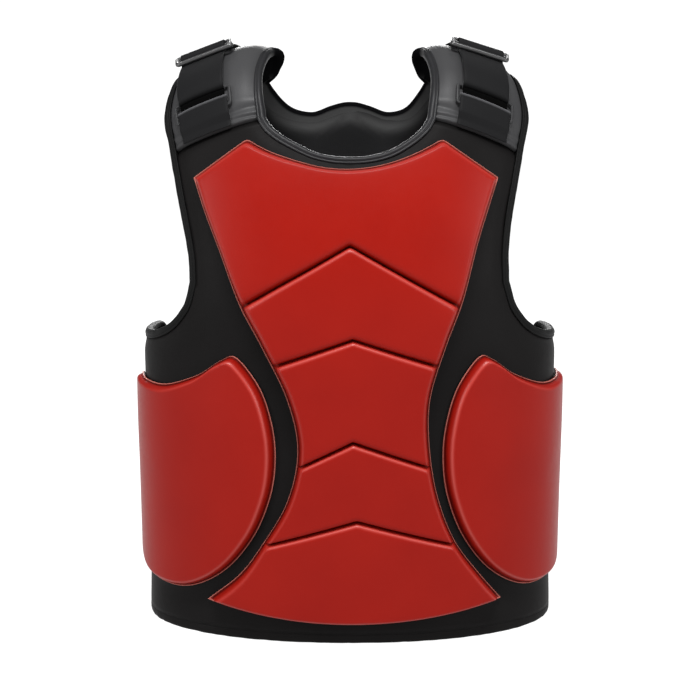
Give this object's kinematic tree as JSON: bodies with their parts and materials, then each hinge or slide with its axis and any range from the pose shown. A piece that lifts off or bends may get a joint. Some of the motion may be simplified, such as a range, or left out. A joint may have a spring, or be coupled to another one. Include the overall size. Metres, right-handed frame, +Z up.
{
  "type": "padded chest guard",
  "caption": "Sleeveless padded vest of leather-covered foam for combat sports, with a raised chest pad in sewn segments, wrapped rib pads and buckled webbing shoulder straps.",
  "frame": {"origin": "on the floor under the middle of the guard's box, in the plane of the hem's underside", "axes": "+Z up, -Y out of the chest, +X to the wearer's left"},
  "size_m": [0.4523, 0.2746, 0.6121],
  "materials": {
    "black_leather": "fine-grained coated leather, satin",
    "red_leather": "smooth coated leather, satin",
    "shoulder_leather": "smooth coated leather, semi-gloss",
    "edge_tape": "folded leather tape, stitched",
    "webbing": "woven webbing, matt",
    "buckle_metal": "black enamel, semi-gloss"
  },
  "bodies": {
    "root": {"front_panel": "black_leather", "back_panel": "black_leather", "chest_pad": "red_leather", "rib_pad_left": "red_leather", "rib_pad_right": "red_leather", "shoulder_pad_left": "shoulder_leather", "shoulder_pad_right": "shoulder_leather", "neck_binding": "edge_tape", "arm_binding_left": "edge_tape", "arm_binding_right": "edge_tape", "hem_binding_left": "edge_tape", "hem_binding_right": "edge_tape", "strap_left": "webbing", "strap_right": "webbing", "strap_flap_left": "webbing", "strap_flap_right": "webbing", "buckle_left": "buckle_metal", "buckle_right": "buckle_metal"}
  },
  "joints": []
}
